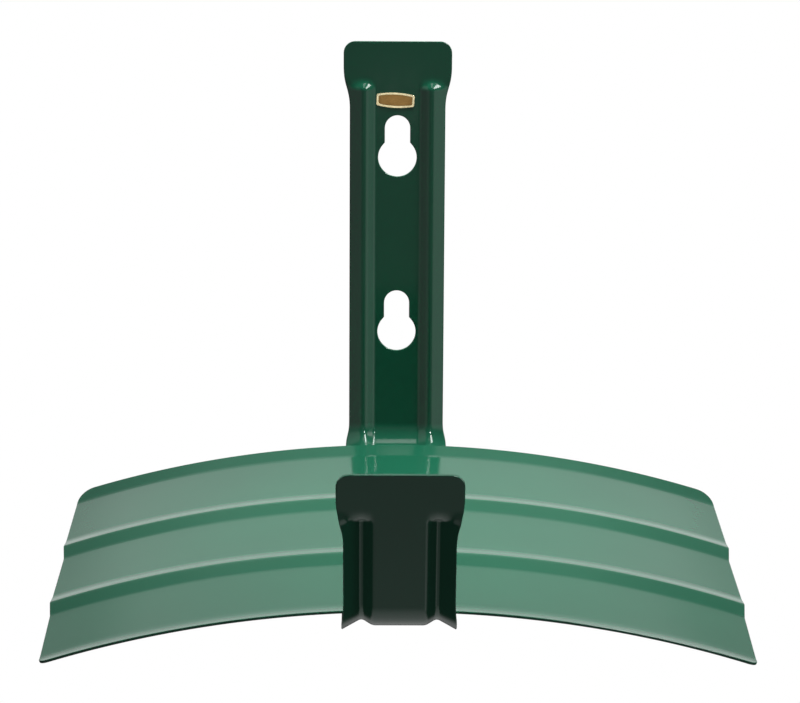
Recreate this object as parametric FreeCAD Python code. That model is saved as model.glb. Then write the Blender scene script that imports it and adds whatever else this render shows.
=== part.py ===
"""Wall hanger for a garden hose: a ribbed steel strip bent into a hook, with an arched saddle on its arm.

Millimetres and degrees. X runs to the right, Y into the wall and Z up. The origin lies on the wall,
midway between the entry holes of the two keyholes.
"""
import FreeCAD
import Part
import math
import os

from FreeCAD import Vector

# Sheet steel
STRIP_SHEET = 1.5
SADDLE_SHEET = 1.1
COAT_FILM = 0.05

# Cross-section of the strip: a flat web, two ribs and two flanges that slope back to the wall.
# Past the first bend the flanges slope further, and their tips drop below the web.
# Where the ribs run out, a larger toe gives a steeper ramp.
WEB_WIDTH = 19.4
RIB_SPACING = 27.4
RIB_HEIGHT = 2.45
RIB_ROOT_RADIUS = 3.5
RIB_CREST_RADIUS = 3.3
WALL_WIDTH = 39.3
ARM_WIDTH = 42.0
ARM_TIP_DROP = 1.6
RUN_OUT_TOE = 2.5

# Wall strip
WALL_HEIGHT = 170.7
TAB_WIDTH = 44.45
TAB_LENGTH = 12.8
TAB_RUN_OUT = 7.0
TAB_TAPER_START = 10.0
TAB_TAPER_LENGTH = 18.0
TAB_CORNER_RADIUS = 4.8

# Keyholes
KEYHOLE_SPACING = 73.0
ENTRY_HOLE_DIAMETER = 15.875
SLOT_WIDTH = 10.4
SLOT_RISE = 12.15
TOP_TO_UPPER_HOLE = 47.7

# Hook: the arm slopes down to the front, and the lip leans outwards
ARM_SLOPE = 10.0
ARM_LENGTH = 175.4
BEND_RADIUS = 12.0
LIP_LEAN = 16.8
LIP_LENGTH = 67.4
LIP_WIDTH = 40.6
LIP_END_SPREAD = 1.35
LIP_FLAT_LENGTH = 12.5
LIP_RUN_OUT = 7.5
LIP_TAPER_START = 9.0
LIP_TAPER_LENGTH = 21.0
LIP_CORNER_RADIUS = 5.0
LIP_FLARE_LENGTH = 16.0

# Saddle: an arch about an axis under the arm, with troughs between low ridges
SADDLE_WIDTH = 266.7
SADDLE_CREST_RADIUS = 413.0
SADDLE_SETBACK = 13.6
BACK_TROUGH = 53.5
MIDDLE_TROUGH = 51.0
FRONT_TROUGH = 47.4
RIDGE_HEIGHT = 2.3
RIDGE_FRONT_RUN = 7.2
RIDGE_BACK_RUN = 6.0
TROUGH_RISE = 1.3
RIDGE_CREST_RADIUS = 3.0
RIDGE_FRONT_ROOT_RADIUS = 7.0
RIDGE_BACK_ROOT_RADIUS = 40.0
EDGE_CURL_HEIGHT = 0.8
EDGE_CURL_RUN = 4.5
SADDLE_BACK_CORNER_RADIUS = 8.0
SADDLE_FRONT_CORNER_RADIUS = 4.0

# Foil label on the web
LABEL_WIDTH = 15.6
LABEL_HEIGHT = 6.3
LABEL_END_HEIGHT = 4.6
LABEL_FOIL = 0.15
LABEL_BELOW_TOP = 24.1
LABEL_OFFSET = -0.9
LABEL_TURN = -2.5

# Modelling allowances
TRIM_MARGIN = 4.0
FADE_SECTIONS = 14
FLARE_SECTIONS = 10
STRAIGHT = 1e-9

AXIS_X = Vector(1, 0, 0)
AXIS_Y = Vector(0, 1, 0)
AXIS_Z = Vector(0, 0, 1)


def turn_at(points, index):
    """Signed turn of a polyline at one of its inner points, in radians, positive to the left."""
    before = points[index] - points[index - 1]
    after = points[index + 1] - points[index]
    return math.atan2(before.x * after.y - before.y * after.x, before.dot(after))


def left_normal(start, end):
    """Unit normal on the left of a segment."""
    along = (end - start).normalize()
    return Vector(-along.y, along.x, 0)


def offset_line(points, distance):
    """Polyline moved to its left by a distance, with mitred corners."""
    moved = [points[0] + left_normal(points[0], points[1]) * distance]
    for index in range(1, len(points) - 1):
        first = left_normal(points[index - 1], points[index])
        second = left_normal(points[index], points[index + 1])
        moved.append(points[index] + (first + second) * (distance / (1 + first.dot(second))))
    moved.append(points[-1] + left_normal(points[-2], points[-1]) * distance)
    return moved


def corner(points, index, setback):
    """Start, middle, end, centre and radius of the arc that rounds one corner of a polyline."""
    here = points[index]
    start = here + (points[index - 1] - here).normalize() * setback
    end = here + (points[index + 1] - here).normalize() * setback
    turn = abs(turn_at(points, index))
    if turn < STRAIGHT:
        return start, here, end, None, None
    radius = setback / math.tan(turn / 2)
    inward = ((start + end) * 0.5 - here).normalize()
    centre = here + inward * (radius / math.cos(turn / 2))
    return start, centre - inward * radius, end, centre, radius


def setbacks_for(points, radii):
    """Distance from each inner corner to the ends of its arc, for mid-line radii."""
    return [radius * math.tan(abs(turn_at(points, index + 1)) / 2) for index, radius in enumerate(radii)]


def side_setbacks(points, setbacks, distance):
    """The same distances on a line that is offset to the left, so that its arcs stay concentric."""
    half_turns = [turn_at(points, index + 1) / 2 for index in range(len(setbacks))]
    return [setback - distance * math.tan(half) for setback, half in zip(setbacks, half_turns)]


def rounded_edges(points, setbacks, place):
    """Lines and arcs along a polyline, with as many edges whatever the corners turn by."""
    edges = []
    last = points[0]
    for index, setback in enumerate(setbacks):
        start, middle, end, centre, _ = corner(points, index + 1, setback)
        edges.append(Part.makeLine(place(last), place(start)))
        if centre is None:
            edges.append(Part.makeLine(place(start), place(end)))
        else:
            edges.append(Part.Arc(place(start), place(middle), place(end)).toShape())
        last = end
    edges.append(Part.makeLine(place(last), place(points[-1])))
    return edges


def sheet_wire(mid_line, setbacks, sheet, place):
    """Closed outline of a bent sheet, drawn on both sides of its mid-line."""
    left = offset_line(mid_line, sheet / 2)
    right = offset_line(mid_line, -sheet / 2)
    left_edges = rounded_edges(left, side_setbacks(mid_line, setbacks, sheet / 2), place)
    right_edges = rounded_edges(right, side_setbacks(mid_line, setbacks, -sheet / 2), place)
    ends = [Part.makeLine(place(left[at]), place(right[at])) for at in (0, -1)]
    return Part.Wire(Part.sortEdges(left_edges + ends + right_edges)[0])


def one_solid(shape):
    """The single solid that a cut or a fusion leaves."""
    solid, = shape.Solids
    return solid


def fade(share):
    """Smooth step from 1 to 0 as a share runs from 0 to 1."""
    return 1 - share * share * (3 - 2 * share)


def rib_fade(share):
    """Height of a rib along its run-out, from 1 to 0: a rounded shoulder, a steep ramp and a gentle toe."""
    return 1 - fade((1 - share) ** RUN_OUT_TOE)


class StripSection:
    """Ribbed section of the strip, drawn wider than the blank so that it can be trimmed to any outline."""

    lip_end_width = TAB_WIDTH + LIP_END_SPREAD
    half_width = max(TAB_WIDTH, lip_end_width, ARM_WIDTH, LIP_WIDTH, WALL_WIDTH) / 2 + TRIM_MARGIN
    radii = [RIB_CREST_RADIUS, RIB_ROOT_RADIUS, RIB_ROOT_RADIUS, RIB_CREST_RADIUS]

    @classmethod
    def mid_line(cls, share=1.0, flare=0.0):
        """Mid-line with the ribs at a share of their height, and the flanges flared from wall to arm."""
        height = RIB_HEIGHT * share
        wall_slope = RIB_HEIGHT / (WALL_WIDTH / 2 - RIB_SPACING / 2)
        arm_slope = (RIB_HEIGHT + ARM_TIP_DROP) / (ARM_WIDTH / 2 - RIB_SPACING / 2)
        slope = share * (wall_slope + (arm_slope - wall_slope) * flare)
        tip = height - slope * (cls.half_width - RIB_SPACING / 2)
        right = [(WEB_WIDTH / 2, 0.0), (RIB_SPACING / 2, height), (cls.half_width, tip)]
        back = [Vector(-x, level, 0) for x, level in reversed(right)]
        back += [Vector(x, level, 0) for x, level in right]
        return offset_line(back, STRIP_SHEET / 2)

    @classmethod
    def wire(cls, origin, inward, share=1.0, flare=0.0):
        """Section at a point of the strip's outer face, with the ribs towards the inside of the hook."""
        setbacks = setbacks_for(cls.mid_line(), cls.radii)
        return sheet_wire(cls.mid_line(share, flare), setbacks, STRIP_SHEET,
                          lambda point: origin + AXIS_X * point.x + inward * point.y)

    @classmethod
    def prism(cls, start, end, inward, share=1.0, flare=0.0):
        """Straight stretch between two points of the outer face."""
        return Part.Face(cls.wire(start, inward, share, flare)).extrude(end - start)

    @classmethod
    def flaring_bend(cls, start, inward, angle):
        """Bend towards the inside of the hook, in which the flanges flare."""
        centre = start + inward * (BEND_RADIUS + STRIP_SHEET)
        wires = []
        for step in range(FLARE_SECTIONS + 1):
            share = step / FLARE_SECTIONS
            wire = cls.wire(start, inward, 1.0, 1 - fade(share))
            wire.rotate(centre, -AXIS_X, angle * share)
            wires.append(wire)
        return Part.makeLoft(wires, True, False)

    @classmethod
    def flared_bend(cls, start, inward, angle):
        """Bend towards the inside of the hook with the flanges flared all through."""
        centre = start + inward * (BEND_RADIUS + STRIP_SHEET)
        return Part.Face(cls.wire(start, inward, 1.0, 1.0)).revolve(centre, -AXIS_X, angle)

    @classmethod
    def run_out(cls, start, end, inward, flare=0.0):
        """Stretch in which the ribs fade away."""
        wires = []
        for step in range(FADE_SECTIONS + 1):
            share = step / FADE_SECTIONS
            wires.append(cls.wire(start + (end - start) * share, inward, rib_fade(share), flare))
        return Part.makeLoft(wires, True, False)

    @classmethod
    def crest_arc(cls):
        """Centre and radius of the right rib's crest on the arm's inner face."""
        mid_line = cls.mid_line(1.0, 1.0)
        inner = offset_line(mid_line, STRIP_SHEET / 2)
        setbacks = side_setbacks(mid_line, setbacks_for(cls.mid_line(), cls.radii), STRIP_SHEET / 2)
        _, _, _, centre, radius = corner(inner, len(inner) - 2, setbacks[-1])
        return centre, radius


def outline_side(stations, corner_radius, side, place):
    """Edges of one side of a strip's outline, from its foot to its rounded top corner."""
    edges = []
    for (low, low_half), (high, high_half) in zip(stations, stations[1:]):
        start = place(side * low_half, low)
        end = place(side * high_half, high)
        if low_half == high_half:
            edges.append(Part.makeLine(start, end))
            continue
        middle = (low + high) / 2
        curve = Part.BezierCurve()
        curve.setPoles([start, place(side * low_half, middle), place(side * high_half, middle), end])
        edges.append(curve.toShape())
    top, half = stations[-1]
    diagonal = corner_radius * (1 - math.sqrt(0.5))
    edges.append(Part.Arc(place(side * half, top),
                          place(side * (half - diagonal), top + corner_radius - diagonal),
                          place(side * (half - corner_radius), top + corner_radius)).toShape())
    return edges


def outline_cutter(stations, corner_radius, place, sweep):
    """Prism of a strip's outline, which trims the over-wide strip."""
    foot, foot_half = stations[0]
    top = stations[-1][0] + corner_radius
    top_half = stations[-1][1] - corner_radius
    edges = outline_side(stations, corner_radius, 1, place)
    edges += outline_side(stations, corner_radius, -1, place)
    edges.append(Part.makeLine(place(-foot_half, foot), place(foot_half, foot)))
    edges.append(Part.makeLine(place(-top_half, top), place(top_half, top)))
    return Part.Face(Part.Wire(Part.sortEdges(edges)[0])).extrude(sweep)


class Hook:
    """Side view of the strip: points and directions that its stretches and the saddle are set out from."""

    upper_hole = KEYHOLE_SPACING / 2
    top = upper_hole + TOP_TO_UPPER_HOLE
    slope = math.radians(ARM_SLOPE)
    lean = math.radians(LIP_LEAN)
    arm_along = Vector(0, -math.cos(slope), -math.sin(slope))
    arm_inward = Vector(0, -math.sin(slope), math.cos(slope))
    lip_along = Vector(0, -math.sin(lean), math.cos(lean))
    lip_inward = Vector(0, math.cos(lean), math.sin(lean))
    wall_turn = 90 - ARM_SLOPE
    lip_turn = 90 + ARM_SLOPE - LIP_LEAN
    outer_radius = BEND_RADIUS + STRIP_SHEET
    wall_tangent = outer_radius * math.tan(math.radians(wall_turn / 2))
    lip_tangent = outer_radius * math.tan(math.radians(lip_turn / 2))
    wall_foot = Vector(0, 0, top - WALL_HEIGHT)
    lip_foot = wall_foot + arm_along * ARM_LENGTH


def keyhole(entry_height):
    """Cutter for one keyhole: an entry hole with a slot that runs up from it."""
    depth = 2 * (STRIP_SHEET + RIB_HEIGHT)
    start = Vector(0, depth / 2, entry_height)
    slot_top = start + AXIS_Z * SLOT_RISE
    entry = Part.makeCylinder(ENTRY_HOLE_DIAMETER / 2, depth, start, -AXIS_Y)
    slot = Part.makeBox(SLOT_WIDTH, depth, SLOT_RISE, start - AXIS_X * (SLOT_WIDTH / 2) - AXIS_Y * depth)
    rest = Part.makeCylinder(SLOT_WIDTH / 2, depth, slot_top, -AXIS_Y)
    return entry.fuse([slot, rest])


def wall_half():
    """Tab, wall strip, first bend and the near half of the arm."""
    inward = -AXIS_Y
    top = AXIS_Z * Hook.top
    tab_end = top - AXIS_Z * TAB_LENGTH
    rib_end = tab_end - AXIS_Z * TAB_RUN_OUT
    bend_start = Hook.wall_foot + AXIS_Z * Hook.wall_tangent
    arm_start = Hook.wall_foot + Hook.arm_along * Hook.wall_tangent
    arm_middle = Hook.wall_foot + Hook.arm_along * (ARM_LENGTH / 2)
    blank = StripSection.prism(tab_end, top, inward, 0.0)
    blank = blank.fuse([
        StripSection.run_out(rib_end, tab_end, inward),
        StripSection.prism(bend_start, rib_end, inward),
        StripSection.flaring_bend(bend_start, inward, Hook.wall_turn),
        StripSection.prism(arm_start, arm_middle, Hook.arm_inward, 1.0, 1.0),
    ])
    taper_top = Hook.top - TAB_TAPER_START
    stations = [
        (arm_middle.z - TRIM_MARGIN, ARM_WIDTH / 2),
        (Hook.wall_foot.z, ARM_WIDTH / 2),
        (bend_start.z, WALL_WIDTH / 2),
        (taper_top - TAB_TAPER_LENGTH, WALL_WIDTH / 2),
        (taper_top, TAB_WIDTH / 2),
        (Hook.top - TAB_CORNER_RADIUS, TAB_WIDTH / 2),
    ]
    reach = ARM_LENGTH + TRIM_MARGIN
    cutter = outline_cutter(stations, TAB_CORNER_RADIUS,
                            lambda x, z: Vector(x, TRIM_MARGIN, z), Vector(0, -reach, 0))
    half = blank.common(cutter)
    return half.cut([keyhole(Hook.upper_hole), keyhole(Hook.upper_hole - KEYHOLE_SPACING)])


def lip_half():
    """Far half of the arm, second bend and the front lip."""
    arm_middle = Hook.wall_foot + Hook.arm_along * (ARM_LENGTH / 2)
    bend_start = Hook.lip_foot - Hook.arm_along * Hook.lip_tangent
    lip_start = Hook.lip_foot + Hook.lip_along * Hook.lip_tangent
    end = Hook.lip_foot + Hook.lip_along * LIP_LENGTH
    flat_start = end - Hook.lip_along * LIP_FLAT_LENGTH
    rib_end = flat_start - Hook.lip_along * LIP_RUN_OUT
    blank = StripSection.prism(arm_middle, bend_start, Hook.arm_inward, 1.0, 1.0)
    blank = blank.fuse([
        StripSection.flared_bend(bend_start, Hook.arm_inward, Hook.lip_turn),
        StripSection.prism(lip_start, rib_end, Hook.lip_inward, 1.0, 1.0),
        StripSection.run_out(rib_end, flat_start, Hook.lip_inward, 1.0),
        StripSection.prism(flat_start, end, Hook.lip_inward, 0.0),
    ])
    taper_top = LIP_LENGTH - LIP_TAPER_START
    stations = [
        (-ARM_LENGTH / 2, ARM_WIDTH / 2),
        (0.0, ARM_WIDTH / 2),
        (LIP_FLARE_LENGTH, LIP_WIDTH / 2),
        (taper_top - LIP_TAPER_LENGTH, LIP_WIDTH / 2),
        (taper_top, StripSection.lip_end_width / 2),
        (LIP_LENGTH - LIP_CORNER_RADIUS, StripSection.lip_end_width / 2),
    ]
    base = Hook.lip_foot - Hook.lip_inward * TRIM_MARGIN
    cutter = outline_cutter(stations, LIP_CORNER_RADIUS,
                            lambda x, s: base + AXIS_X * x + Hook.lip_along * s,
                            Hook.lip_inward * ARM_LENGTH)
    return blank.common(cutter)


def make_bracket():
    """The whole strip as one sheet."""
    return one_solid(wall_half().fuse(lip_half()).removeSplitter())


class SaddleProfile:
    """Profile of the saddle's sheet along the arm, with its ridges, and the axis it is turned about."""

    bands = [BACK_TROUGH, MIDDLE_TROUGH, FRONT_TROUGH]
    half_angle = math.asin(SADDLE_WIDTH / 2 / SADDLE_CREST_RADIUS)
    trough_under = SADDLE_CREST_RADIUS - RIDGE_HEIGHT - SADDLE_SHEET
    depth = sum(bands)

    @classmethod
    def seat_level(cls):
        """Height of the saddle's lowest inner line over the arm's outer face, when on the rib crests."""
        crest, radius = StripSection.crest_arc()
        clear = cls.trough_under - radius
        return crest.y + cls.trough_under - math.sqrt(clear * clear - crest.x * crest.x) + COAT_FILM

    @classmethod
    def mid_line(cls):
        """Mid-line of the sheet: distance from its back edge, and radius from the axis."""
        crest = SADDLE_CREST_RADIUS - SADDLE_SHEET / 2
        trough = crest - RIDGE_HEIGHT
        points = [Vector(0, crest, 0)]
        radii = []
        start = 0.0
        for number, band in enumerate(cls.bands, start=1):
            at_front = number == len(cls.bands)
            run = EDGE_CURL_RUN if at_front else RIDGE_BACK_RUN
            floor_rise = 0.0 if at_front else TROUGH_RISE
            whole_rise = EDGE_CURL_HEIGHT if at_front else RIDGE_HEIGHT
            points.append(Vector(start + RIDGE_FRONT_RUN, trough, 0))
            points.append(Vector(start + band - run, trough + floor_rise, 0))
            points.append(Vector(start + band, trough + whole_rise, 0))
            radii += [RIDGE_FRONT_ROOT_RADIUS, RIDGE_BACK_ROOT_RADIUS, RIDGE_CREST_RADIUS]
            start += band
        return points, radii[:-1]


def corner_cutter(point, along, across, radius, normal):
    """Prism that rounds one corner of a sheet, seen along its normal."""
    start = point + along * radius
    end = point + across * radius
    centre = start + across * radius
    middle = centre - (along + across).normalize() * radius
    past = TRIM_MARGIN
    outer = [end, end - along * past, point - (along + across) * past, start - across * past, start]
    edges = [Part.Arc(start, middle, end).toShape()]
    edges += [Part.makeLine(first, second) for first, second in zip(outer, outer[1:])]
    face = Part.Face(Part.Wire(edges))
    face.translate(normal * past)
    return face.extrude(normal * -(2 * past + RIDGE_HEIGHT + SADDLE_SHEET))


def make_saddle():
    """Arched sheet with its ridges, turned about an axis parallel to the arm, with rounded corners."""
    profile = SaddleProfile
    along = Hook.arm_along
    upward = Hook.arm_inward
    apex_under = Hook.wall_foot + along * SADDLE_SETBACK + upward * profile.seat_level()
    axis_point = apex_under - upward * profile.trough_under
    points, radii = profile.mid_line()
    wire = sheet_wire(points, setbacks_for(points, radii), SADDLE_SHEET,
                      lambda point: axis_point + along * point.x + upward * point.y)
    half_turn = math.degrees(profile.half_angle)
    face = Part.Face(wire)
    face.rotate(axis_point, along, -half_turn)
    saddle = face.revolve(axis_point, along, 2 * half_turn)
    cutters = []
    for side in (1, -1):
        outward = AXIS_X * (side * math.sin(profile.half_angle)) + upward * math.cos(profile.half_angle)
        inward = AXIS_X * (-side * math.cos(profile.half_angle)) + upward * math.sin(profile.half_angle)
        back = axis_point + outward * SADDLE_CREST_RADIUS
        front = back + along * profile.depth
        cutters.append(corner_cutter(back, along, inward, SADDLE_BACK_CORNER_RADIUS, outward))
        cutters.append(corner_cutter(front, -along, inward, SADDLE_FRONT_CORNER_RADIUS, outward))
    return one_solid(saddle.cut(cutters))


def make_foil_label():
    """Thin barrel-shaped foil on the front of the web, turned a little."""
    half = LABEL_WIDTH / 2
    end = LABEL_END_HEIGHT / 2
    edges = []
    for side in (1, -1):
        edges.append(Part.Arc(Vector(-half, 0, side * end), Vector(0, 0, side * LABEL_HEIGHT / 2),
                              Vector(half, 0, side * end)).toShape())
        edges.append(Part.makeLine(Vector(side * half, 0, -end), Vector(side * half, 0, end)))
    label = Part.Face(Part.Wire(Part.sortEdges(edges)[0])).extrude(-AXIS_Y * LABEL_FOIL)
    label.rotate(Vector(), -AXIS_Y, LABEL_TURN)
    label.translate(Vector(LABEL_OFFSET, -STRIP_SHEET, Hook.top - LABEL_BELOW_TOP))
    return label


def main():
    """Write one STEP file for each piece."""
    os.makedirs("parts", exist_ok=True)
    pieces = {"bracket": make_bracket(), "saddle": make_saddle(), "foil_label": make_foil_label()}
    for name, shape in pieces.items():
        box = shape.BoundBox
        print(name, shape.ShapeType, len(shape.Solids), shape.isValid(), round(shape.Volume, 1),
              [round(value, 2) for value in (box.XMin, box.XMax, box.YMin, box.YMax, box.ZMin, box.ZMax)])
        shape.exportStep(f"parts/{name}.step")


main()
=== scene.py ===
"""Finished look of a wall hose hanger: pressed sheet steel in gloss green powder coat, with a foil label.

Sizes are in millimetres and angles in degrees, as on a maker's drawing, and meshes are written in metres.
X runs to the right, Y into the wall and Z up. The origin lies on the wall, midway between the keyholes.
"""

import logging
import math
from dataclasses import dataclass
from enum import Enum
from typing import Any, Iterator, Sequence

import bpy
from mathutils import Matrix, Vector
from mathutils.geometry import tessellate_polygon


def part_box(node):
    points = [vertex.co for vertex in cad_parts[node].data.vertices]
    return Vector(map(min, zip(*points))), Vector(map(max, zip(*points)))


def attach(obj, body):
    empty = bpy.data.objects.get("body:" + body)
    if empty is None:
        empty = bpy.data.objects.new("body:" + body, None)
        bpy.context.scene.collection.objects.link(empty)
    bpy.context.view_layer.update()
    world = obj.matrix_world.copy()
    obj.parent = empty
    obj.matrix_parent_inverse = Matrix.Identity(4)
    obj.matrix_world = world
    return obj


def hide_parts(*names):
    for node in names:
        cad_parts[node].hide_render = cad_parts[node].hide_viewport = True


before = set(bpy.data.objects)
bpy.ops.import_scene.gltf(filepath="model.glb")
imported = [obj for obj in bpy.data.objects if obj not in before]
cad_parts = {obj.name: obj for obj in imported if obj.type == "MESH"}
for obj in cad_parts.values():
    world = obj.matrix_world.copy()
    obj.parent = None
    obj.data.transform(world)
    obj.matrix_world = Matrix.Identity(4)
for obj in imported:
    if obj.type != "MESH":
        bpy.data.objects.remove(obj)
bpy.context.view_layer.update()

MM = 0.001
BODY = "root"
RIGHT = Vector((1.0, 0.0, 0.0))
UP = Vector((0.0, 0.0, 1.0))
TO_FRONT = Vector((0.0, -1.0, 0.0))
WHITE = (1.0, 1.0, 1.0, 1.0)

log = logging.getLogger("hose_hanger")


class Node(Enum):
    """Pieces of the hanger, by the names of the solids that they stand for."""

    BRACKET = "bracket"
    SADDLE = "saddle"
    LABEL = "foil_label"


class Slot(Enum):
    """Material slots of the hanger."""

    COAT = "green_coat"
    FOIL = "gold_foil"


# Colours and node trees


def linear(colour: str) -> tuple[float, float, float, float]:
    """Turn an sRGB hex colour into a linear one.

    Args:
        colour: Hex colour such as "#20694a".

    Returns:
        Red, green, blue and alpha, linear.
    """
    shares = [int(colour[at:at + 2], 16) / 255 for at in (1, 3, 5)]
    red, green, blue = [share / 12.92 if share <= 0.04045 else ((share + 0.055) / 1.055) ** 2.4
                        for share in shares]
    return red, green, blue, 1.0


def add_node(tree: bpy.types.NodeTree, kind: str, inputs: dict[str | int, Any] | None = None,
             **settings: Any) -> bpy.types.Node:
    """Add a node with its settings, values and links.

    Args:
        tree: Node tree that gets the node.
        kind: Blender's name for the node's type.
        inputs: Value, or socket to link from, for each input by name or number.
        settings: Properties of the node, set before its inputs.

    Returns:
        The new node.
    """
    node = tree.nodes.new(kind)
    for name, value in settings.items():
        setattr(node, name, value)
    for key, value in (inputs or {}).items():
        if isinstance(value, bpy.types.NodeSocket):
            tree.links.new(value, node.inputs[key])
        else:
            node.inputs[key].default_value = value
    return node


def per_metre(size_mm: float) -> float:
    """Texture scale at which a pattern repeats about once in a size given in millimetres."""
    return 1.0 / (size_mm * MM)


def new_material(name: str) -> tuple[bpy.types.Material, bpy.types.NodeTree]:
    """Make a material with an empty node tree.

    Args:
        name: Name of the material.

    Returns:
        The material and its tree.
    """
    material = bpy.data.materials.new(name)
    material.use_nodes = True
    material.node_tree.nodes.clear()
    return material, material.node_tree


# Finishes

MIX_FIRST_COLOUR = 6
MIX_SECOND_COLOUR = 7
MIX_COLOUR_OUT = 2


@dataclass(frozen=True)
class Grain:
    """Random pattern in a finish: size of its patches in millimetres, and number of finer levels."""

    size: float
    detail: float

    def inputs(self, place: bpy.types.NodeSocket) -> dict[str | int, Any]:
        """Inputs of the pattern's texture at a place on the piece."""
        return {"Vector": place, "Scale": per_metre(self.size), "Detail": self.detail}


@dataclass(frozen=True)
class PowderCoat:
    """Gloss polyester powder coat, sprayed and stoved on sheet steel.

    The film flows out almost flat, so the eye sees sharp reflections that are broken up by a fine orange
    peel, and by the slow waves that pressing leaves in the sheet below.
    """

    name: str = "gloss_green_powder_coat"
    colour: str = "#20694e"
    thin_colour: str = "#1d6148"
    tone: Grain = Grain(45.0, 2.0)
    ior: float = 1.5
    gloss: Grain = Grain(7.0, 3.0)
    gloss_levels: tuple[float, float] = (0.3, 0.7)
    roughnesses: tuple[float, float] = (0.10, 0.17)
    waves: Grain = Grain(22.0, 1.0)
    wave_depth: float = 0.02
    peel: Grain = Grain(1.8, 1.0)
    peel_depth: float = 0.004

    def material(self) -> bpy.types.Material:
        """Build the material with its film's tone, gloss, waves and orange peel.

        Returns:
            The finished material.
        """
        material, tree = new_material(self.name)
        place = add_node(tree, "ShaderNodeTexCoord").outputs["Object"]
        tone, gloss, wave, peel = [add_node(tree, "ShaderNodeTexNoise", grain.inputs(place)).outputs["Fac"]
                                   for grain in (self.tone, self.gloss, self.waves, self.peel)]
        colour = add_node(tree, "ShaderNodeMix",
                          {0: tone, MIX_FIRST_COLOUR: linear(self.thin_colour),
                           MIX_SECOND_COLOUR: linear(self.colour)}, data_type="RGBA")
        low, high = self.gloss_levels
        smooth, rough = self.roughnesses
        roughness = add_node(tree, "ShaderNodeMapRange",
                             {"Value": gloss, "From Min": low, "From Max": high,
                              "To Min": smooth, "To Max": rough})
        waves = add_node(tree, "ShaderNodeBump", {"Height": wave, "Distance": self.wave_depth * MM})
        film = add_node(tree, "ShaderNodeBump",
                        {"Height": peel, "Distance": self.peel_depth * MM,
                         "Normal": waves.outputs["Normal"]})
        shader = add_node(tree, "ShaderNodeBsdfPrincipled",
                          {"Base Color": colour.outputs[MIX_COLOUR_OUT], "IOR": self.ior,
                           "Roughness": roughness.outputs["Result"], "Normal": film.outputs["Normal"]})
        add_node(tree, "ShaderNodeOutputMaterial", {"Surface": shader.outputs["BSDF"]})
        return material


@dataclass(frozen=True)
class MetalFoil:
    """Vacuum-metallised polyester foil of a sticker, printed or left bare.

    Bare foil is bright pale gold, and the printed field is a warm bronze that lets some of the metal show.
    Both have a faint crumple from being rubbed down.
    """

    name: str
    colour: str
    worn_colour: str
    roughness: float
    metallic: float = 1.0
    mottle: Grain = Grain(2.6, 2.0)
    crumple: Grain = Grain(1.2, 2.0)
    crumple_depth: float = 0.0025

    def material(self) -> bpy.types.Material:
        """Build the material with its mottled colour and crumple.

        Returns:
            The finished material.
        """
        material, tree = new_material(self.name)
        place = add_node(tree, "ShaderNodeTexCoord").outputs["Object"]
        mottle, crumple = [add_node(tree, "ShaderNodeTexNoise", grain.inputs(place)).outputs["Fac"]
                           for grain in (self.mottle, self.crumple)]
        colour = add_node(tree, "ShaderNodeMix",
                          {0: mottle, MIX_FIRST_COLOUR: linear(self.worn_colour),
                           MIX_SECOND_COLOUR: linear(self.colour)}, data_type="RGBA")
        bump = add_node(tree, "ShaderNodeBump", {"Height": crumple, "Distance": self.crumple_depth * MM})
        shader = add_node(tree, "ShaderNodeBsdfPrincipled",
                          {"Base Color": colour.outputs[MIX_COLOUR_OUT], "Metallic": self.metallic,
                           "Roughness": self.roughness, "Normal": bump.outputs["Normal"]})
        add_node(tree, "ShaderNodeOutputMaterial", {"Surface": shader.outputs["BSDF"]})
        return material


BARE_FOIL = MetalFoil("pale_gold_foil", "#f8ebc4", "#e9d8a4", roughness=0.07)
BRONZE_PRINT = MetalFoil("bronze_printed_foil", "#a5834f", "#856335", roughness=0.08)


# Flat outlines and sheets

STRAIGHT = 1e-6
RIM_ANGLES = (30, 60, 90)


def turn_at(points: Sequence[Vector], index: int) -> float:
    """Measure how far a polyline turns at an inner point.

    Args:
        points: Points of the polyline.
        index: Number of the inner point.

    Returns:
        Turn in radians, positive to the left.
    """
    before = points[index] - points[index - 1]
    after = points[index + 1] - points[index]
    return math.atan2(before.x * after.y - before.y * after.x, before.dot(after))


def left_normal(start: Vector, end: Vector) -> Vector:
    """Unit normal on the left of a segment."""
    along = (end - start).normalized()
    return Vector((-along.y, along.x))


def offset_line(points: Sequence[Vector], distance: float) -> list[Vector]:
    """Move a polyline to its left.

    Args:
        points: Points of the polyline.
        distance: How far each segment moves.

    Returns:
        Points of the moved polyline, with mitred corners.
    """
    moved = [points[0] + left_normal(points[0], points[1]) * distance]
    for index in range(1, len(points) - 1):
        first = left_normal(points[index - 1], points[index])
        second = left_normal(points[index], points[index + 1])
        moved.append(points[index] + (first + second) * (distance / (1 + first.dot(second))))
    moved.append(points[-1] + left_normal(points[-2], points[-1]) * distance)
    return moved


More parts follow.
